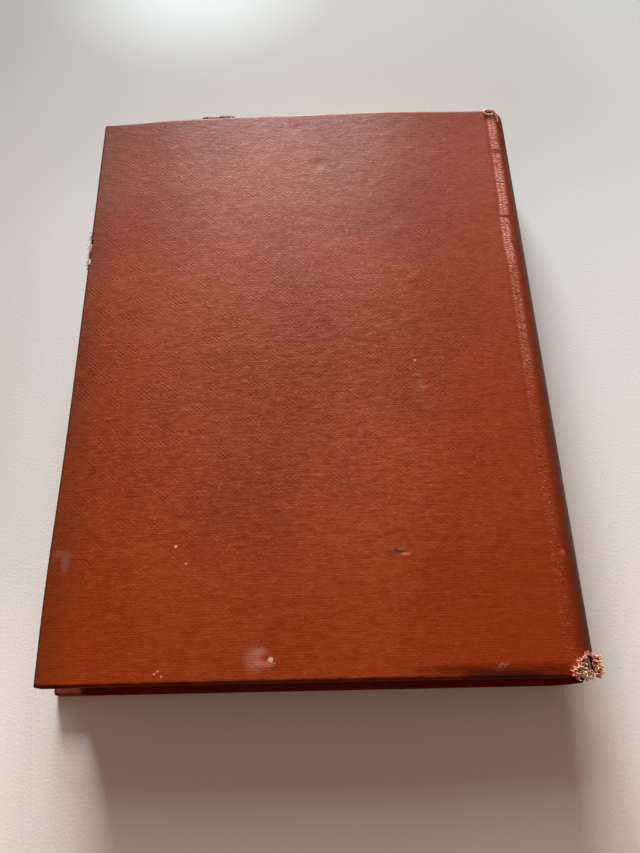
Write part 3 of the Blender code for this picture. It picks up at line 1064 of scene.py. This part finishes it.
def fibres(name, spacing, length, radius, spread, curl, curl_size, seed, droop=0.0):
    """Bent, tapering threads at even steps along a path, fewer where the cloth is less worn.

    All but the spread and the seed are in millimetres.
    """
    tree = new_tree(name)
    path = put(tree, "GeometryNodeMeshToCurve", put(tree, "NodeGroupInput"))
    steps = {"Curve": path, "Length": spacing * MM}
    even = put(tree, "GeometryNodeResampleCurve", by_name=steps, mode="LENGTH")
    roots = put(tree, "GeometryNodeCurveToPoints", even, mode="EVALUATED")
    whole = any_number(tree, 0.0, 1.0, seed + 11).math("GREATER_THAN", named(tree, "worn"))
    roots = put(tree, "GeometryNodeDeleteGeometry", roots, whole)
    roots = kept(roots, "shade", any_number(tree, 0.0, 1.0, seed + 23))

    line = put(tree, "GeometryNodeCurvePrimitiveLine", by_name={"End": (0, 0, 1)})
    fibre = put(tree, "GeometryNodeResampleCurve", by_name={"Curve": line, "Count": 8}, mode="COUNT")
    astray = put(
        tree, "FunctionNodeRandomValue", (-1, -1, -1), (1, 1, 1),
        by_name={"Seed": seed + 37}, data_type="FLOAT_VECTOR",
    )
    way = named(tree, "lean", "FLOAT_VECTOR").vector("ADD", astray.scaled(spread))
    stance = {
        "Instance": fibre,
        "Rotation": put(tree, "FunctionNodeAlignRotationToVector", by_name={"Vector": way}, axis="Z"),
        "Scale": any_number(tree, 0.55, 1.25, seed + 41) * (length * MM),
    }
    stood = put(tree, "GeometryNodeInstanceOnPoints", roots, by_name=stance)
    loose = put(tree, "GeometryNodeRealizeInstances", stood)

    share = put(tree, "GeometryNodeSplineParameter")
    here = put(tree, "GeometryNodeInputPosition").scaled(1 / (curl_size * MM))
    lumps = {"Vector": here, "W": named(tree, "shade") * 60, "Scale": 1, "Detail": 1}
    swing = Field(node(tree, "ShaderNodeTexNoise", by_name=lumps, noise_dimensions="4D").outputs["Color"])
    bent = swing.vector("SUBTRACT", (0.5, 0.5, 0.5)).scaled(share * (curl * MM * 4))
    fall = share.math("POWER", 2.0) * (-droop * MM)
    offset = bent.vector("ADD", put(tree, "ShaderNodeCombineXYZ", 0.0, 0.0, fall))
    curled = kept(moved(loose, Offset=offset), "along", share)
    circle = {"Resolution": 5, "Radius": radius * MM}
    ring = put(tree, "GeometryNodeCurvePrimitiveCircle", by_name=circle, mode="RADIUS")
    taper = {"Scale": 1 - share * 0.55, "Fill Caps": True}
    return put(tree, "GeometryNodeCurveToMesh", curled, ring, by_name=taper)


def threads(name, runs, finish, *sizes, **named_sizes):
    """Runs of threads. A run is a list of places, each a point, a lean and how worn it is."""
    mesh = bpy.data.meshes.new(name)
    points = [place for run in runs for place in run]
    links = []
    start = 0
    for run in runs:
        links += [(start + i, start + i + 1) for i in range(len(run) - 1)]
        start += len(run)
    mesh.from_pydata([p[0] for p in points], links, [])
    mesh.attributes.new("lean", "FLOAT_VECTOR", "POINT")
    mesh.attributes.new("worn", "FLOAT", "POINT")
    for i, (_, way, share) in enumerate(points):
        mesh.attributes["lean"].data[i].vector = way
        mesh.attributes["worn"].data[i].value = share
    piece = grown(name, mesh, fibres(name, *sizes, **named_sizes), finish)
    piece.data.shade_smooth()
    return piece


def ridge(low, high, worn):
    """Two rows of worn threads lying across the joint's crest, between two heights."""
    steps = 80
    ahead = 0.0006
    runs = []
    for across, slant in ((0.0003, -0.5), (0.0013, 0.5)):
        run = []
        for i in range(steps + 1):
            y = blend(i / steps, TAIL + low, TAIL + high)
            x = joint_at(y) + across
            height = joint_height(x, y)
            rise = (joint_height(x + ahead, y) - height) / ahead
            patch = worn * (0.7 + 0.9 * rough(across * 3, y, 0.0030, 5.5))
            run.append((Vector((x, y, MIDDLE + height - 0.00004)), (1.0, slant, rise), patch))
        runs.append(run)
    return runs


for name, low, high, worn, finish in (
    ("rubbed_threads", 0.096, 0.1450, 0.60, pale_cotton),
    ("dyed_threads", 0.008, 0.096, 0.25, red_cotton),
):
    with_joint(threads(
        name, ridge(low, high, worn), finish,
        spacing=0.27, length=0.8, radius=0.075, spread=0.25, curl=0.10, curl_size=0.5, seed=3, droop=0.08,
    ))


def torn_rows(rows):
    """Wholly worn runs on the torn cap: each a lift, a lean, and pairs of across and up.

    The lifts and pairs are in millimetres.
    """
    runs = []
    for lift, lean, places in rows:
        points = [spine_point(across * MM, up * MM, lift * MM) for across, up in places]
        runs.append([(point, lean, 1.0) for point in points])
    return runs


# a name, the finish, the runs, and then spacing, length, radius, spread, curl, curl size and seed
for name, finish, rows, sizes in (
    ("tail_cap_threads_left", salmon, (
        (0.1, (-0.2, 0.3, 0.9), (
            (1.2, 0.3), (1.7, 1.0), (2.5, 2.2), (3.4, 3.3), (4.4, 4.1), (5.3, 4.5), (6.0, 4.0),
        )),
        (-0.5, (0.3, 0.0, 0.9), ((1.6, 0.2), (2.2, 1.2), (3.0, 2.4), (4.2, 3.6))),
        (-0.6, (0.2, -0.2, 0.9), ((1.8, -0.2), (2.4, 0.8), (3.0, 1.6))),
    ), (0.19, 0.9, 0.17, 0.9, 0.45, 0.6, 12)),
    ("tail_cap_threads_middle", cream, (
        (-0.4, (0.1, 0.0, 0.9), ((2.6, 0.2), (3.2, 1.2), (3.8, 2.2), (4.5, 3.2))),
        (-0.4, (0.1, -0.1, 0.9), ((3.2, 0.0), (3.9, 0.9), (4.5, 1.8))),
        (-0.8, (0.1, -0.1, 0.9), ((3.9, 0.0), (4.8, 0.5), (5.6, 1.0))),
    ), (0.22, 1.0, 0.19, 0.9, 0.60, 0.6, 8)),
    ("tail_cap_threads_right", peach, (
        (0.0, (0.8, 0.2, 0.6), ((6.3, 4.3), (7.0, 3.7), (7.7, 3.0), (8.0, 2.0), (7.7, 1.0))),
        (-0.4, (0.8, 0.0, 0.7), ((6.3, 3.4), (7.0, 2.6), (7.2, 1.4), (6.8, 0.5))),
        (-0.4, (0.4, 0.0, 0.9), ((6.4, 2.4), (6.4, 1.4), (6.0, 0.6))),
    ), (0.18, 1.3, 0.21, 0.7, 0.55, 0.7, 5)),
    ("tail_cap_threads_low", mauve, (
        (-1.2, (0.0, -0.2, 0.9), ((4.0, 0.2), (4.8, 0.0), (5.8, 0.2))),
    ), (0.24, 0.8, 0.17, 0.9, 0.45, 0.6, 15)),
):
    piece = threads(name, torn_rows(rows), finish, *sizes)
    if name == "tail_cap_threads_left":
        with_joint(piece)
    else:
        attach(piece, "text_block")

# a torn tongue of the lining stands in the hole
grey_paper, shader, place = new_finish("torn_paper", 0.9, 0.2)
fleck = grain(place, 1900, 3)
surface(shader, mixed(fleck.between(0.35, 0.65), (46, 38, 35), (66, 58, 55)), fleck, 0.00006)
tongue = [[], []]
for j in range(9):
    share = j / 8
    up = blend(share, 0.0012, 0.0042)
    half = 0.00030 * (1 - 0.5 * share ** 3) * (1 + 0.3 * rough(up, 0, 0.0007, 3.3))
    middle = 0.0052 - 0.0003 * share
    for side, thick in zip(tongue, (0.00028, 0)):
        side.append([
            spine_point(middle + across, up, -0.00015 - thick)
            for across in (-half, -half / 3, half / 3, half)
        ])
torn_lining = closed_sheet("torn_lining", *tongue)
dressed(torn_lining.data, grey_paper)
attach(torn_lining, "text_block")

head_run = []
for i in range(9):
    x = FORE_EDGE + blend(i / 8, 0.0268, 0.0352)
    head_run.append((Vector((x, HEAD, THICKNESS + bow_at(x) - 0.0005)), (1.3, 0.7, 0.30), 0.95))
head_fray = threads(
    "head_edge_threads", [head_run], rust,
    spacing=0.14, length=1.1, radius=0.13, spread=0.5, curl=0.35, curl_size=0.9, seed=21,
)
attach(head_fray, "back_cover")

fore_run = []
for i in range(9):
    point = Vector((FORE_EDGE, TAIL + blend(i / 8, 0.1012, 0.1125), THICKNESS - 0.0008))
    fore_run.append((point, (-0.65, -0.7, 0.05), blend(i / 8, 1.0, 0.7)))
fore_fray = threads(
    "fore_edge_threads", [fore_run], cream,
    spacing=0.22, length=1.1, radius=0.11, spread=0.4, curl=0.22, curl_size=0.9, seed=31,
)
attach(fore_fray, "back_cover")


# ---- Head cap ----
# The cloth of the cap has worn through beside the joint, and is rolled up in a rim round the hole.

RIM_THICK = 0.00030
RIM_LUMP = 0.0004  # the size of the lumps in the rolled cloth

worn_rim, shader, place = new_finish("worn_rim", 0.85, 0.15)
fuzz = grain(place, (2600, 3400, 2600), 3)
surface(shader, mixed(fuzz.between(0.35, 0.60), (90, 70, 60), (98, 88, 80)), fuzz, 0.00010)

across, up, wide, tall = HEAD_HOLE
ring = []
for i in range(28):
    turn = math.tau * i / 28
    lift = 0.00022 + 0.00010 * math.sin(turn)
    ring.append((across + 1.12 * wide * math.cos(turn), up + 1.15 * tall * math.sin(turn), lift, 1.0))
arm = (
    (0.0008, 0.14750, 0.0003, 1.0),
    (0.0012, 0.14735, 0.0003, 1.1),
    (0.0016, 0.1469, 0.00026, 1.2),
    (0.0019, 0.1462, 0.0002, 1.1),
    (0.0021, 0.1454, 0.0001, 0.9),
    (0.0022, 0.1445, -0.0001, 0.6),
)

# round cords through places, each given as across from the spine's start, up, lift and width
shape = bpy.data.curves.new("head_cap_rim", "CURVE")
shape.dimensions = "3D"
shape.bevel_depth = RIM_THICK
shape.bevel_resolution = 2
shape.use_fill_caps = True
for closed, places in ((True, ring), (False, arm)):
    line = shape.splines.new("POLY")
    line.points.add(len(places) - 1)
    line.use_cyclic_u = closed
    for spine_place, (across, up, lift, share) in zip(line.points, places):
        x, y, z = spine_point(across, up, lift)
        uneven = RIM_THICK * 0.5 * rough(x, y, RIM_LUMP, 6.1)
        spine_place.co = (x + uneven, y, z + uneven, 1)
        spine_place.radius = share * (1 + 0.50 * rough(x, y, RIM_LUMP, 2.7))
path = placed("head_cap_rim", shape)
mesh = bpy.data.meshes.new_from_object(path.evaluated_get(bpy.context.evaluated_depsgraph_get()))
bpy.data.objects.remove(path)
mesh.name = "head_cap_rim"
dressed(mesh, worn_rim)
mesh.shade_smooth()
cap_rim = placed("head_cap_rim", mesh)
with_joint(cap_rim)


# ---- Table and light ----
# A plain pale table top, with painted shade and a painted reflection of the window on it, a low
# window of four panes beyond the head of the book, and weak, warm light from the rest of the room.

table_top, shader, place = new_finish("table_top", 0.75, 0.12)
across, away, _ = place.parts()
# painted shade: the table darkens towards the far side, on the left and most in the far left corner; the
# pale patch beyond the head is a painted reflection of the window
left = across.between(-0.045, -0.10) * away.between(-0.075, -0.030)
dim = (1 - across.between(0.055, 0.105) * 0.55) * away.between(0.045, 0.100)
window_reflection = spot(place, (-0.036, 0.154, 0), (0.030, 0.026, 1), 0.9, ragged(place, 0.2))
base = stained(
    mixed(away.between(-0.08, 0.12), (86, 84, 82), (76, 79, 79)),
    (left, 0.9, (72, 70.5, 69)),
    (dim, 0.9, (69, 69.5, 68)),
    ((away - across).between(0.12, 0.26), 1.0, (60, 61, 60)),
    (window_reflection, 0.85, (88, 94, 95)),
    (grain(place, 9, 3), 0.2, (80, 79, 77)),
)
surface(shader, base, grain(place, 1800), 0.00003)

# seen from under the table, its top is clear
tree = place.tree
clear = put(tree, "ShaderNodeBsdfTransparent")
from_below = Field(node(tree, "ShaderNodeNewGeometry").outputs["Backfacing"])
either = put(tree, "ShaderNodeMixShader", from_below, Field(shader.outputs[0]), clear)
ending = next(n for n in tree.nodes if n.type == "OUTPUT_MATERIAL")
feed(ending.inputs["Surface"], either)

TABLE_HALF = 2
corners = [(-1, -1), (1, -1), (1, 1), (-1, 1)]
mesh = bpy.data.meshes.new("table")
mesh.from_pydata([(TABLE_HALF * x, TABLE_HALF * y, 0) for x, y in corners], [], [(0, 1, 2, 3)])
mesh.materials.append(table_top)
placed("table", mesh)

PANE_FAR = 6.0
DAYLIGHT = (0.97, 1.0, 1.02)


def breadth(angle):
    """The size of something far off that looks this many degrees broad."""
    return 2 * PANE_FAR * math.tan(math.radians(angle / 2))


# bearing from the head, rise, width and height in degrees, and strength
for name, turn, rise, width, height, strength in (
    ("left_pane", -11.0, 13.5, 9.5, 8, 5.0),
    ("middle_pane", -3, 10.5, 7, 6.5, 2.5),
    ("right_pane", 6, 13.5, 8, 8, 2.1),
    ("upper_pane", -5, 31, 16, 24, 1.25),
):
    lamp = bpy.data.lights.new(name, "AREA")
    lamp.shape = "RECTANGLE"
    lamp.size = breadth(width)
    lamp.size_y = breadth(height)
    lamp.energy = strength * math.pi * PANE_FAR * PANE_FAR
    lamp.color = DAYLIGHT
    turn, rise = math.radians(turn), math.radians(rise)
    way = Vector((math.sin(turn) * math.cos(rise), math.cos(turn) * math.cos(rise), math.sin(rise)))
    pane = placed(name, lamp)
    pane.location = PANE_FAR * way
    pane.rotation_euler = way.to_track_quat("Z", "Y").to_euler()

sky = bpy.data.worlds.new("room")
sky.use_nodes = True
sky.node_tree.nodes["Background"].inputs["Color"].default_value = (1, 0.65, 0.50, 1)
sky.node_tree.nodes["Background"].inputs["Strength"].default_value = 0.31
bpy.context.scene.world = sky
bpy.context.scene.view_settings.view_transform = "Standard"
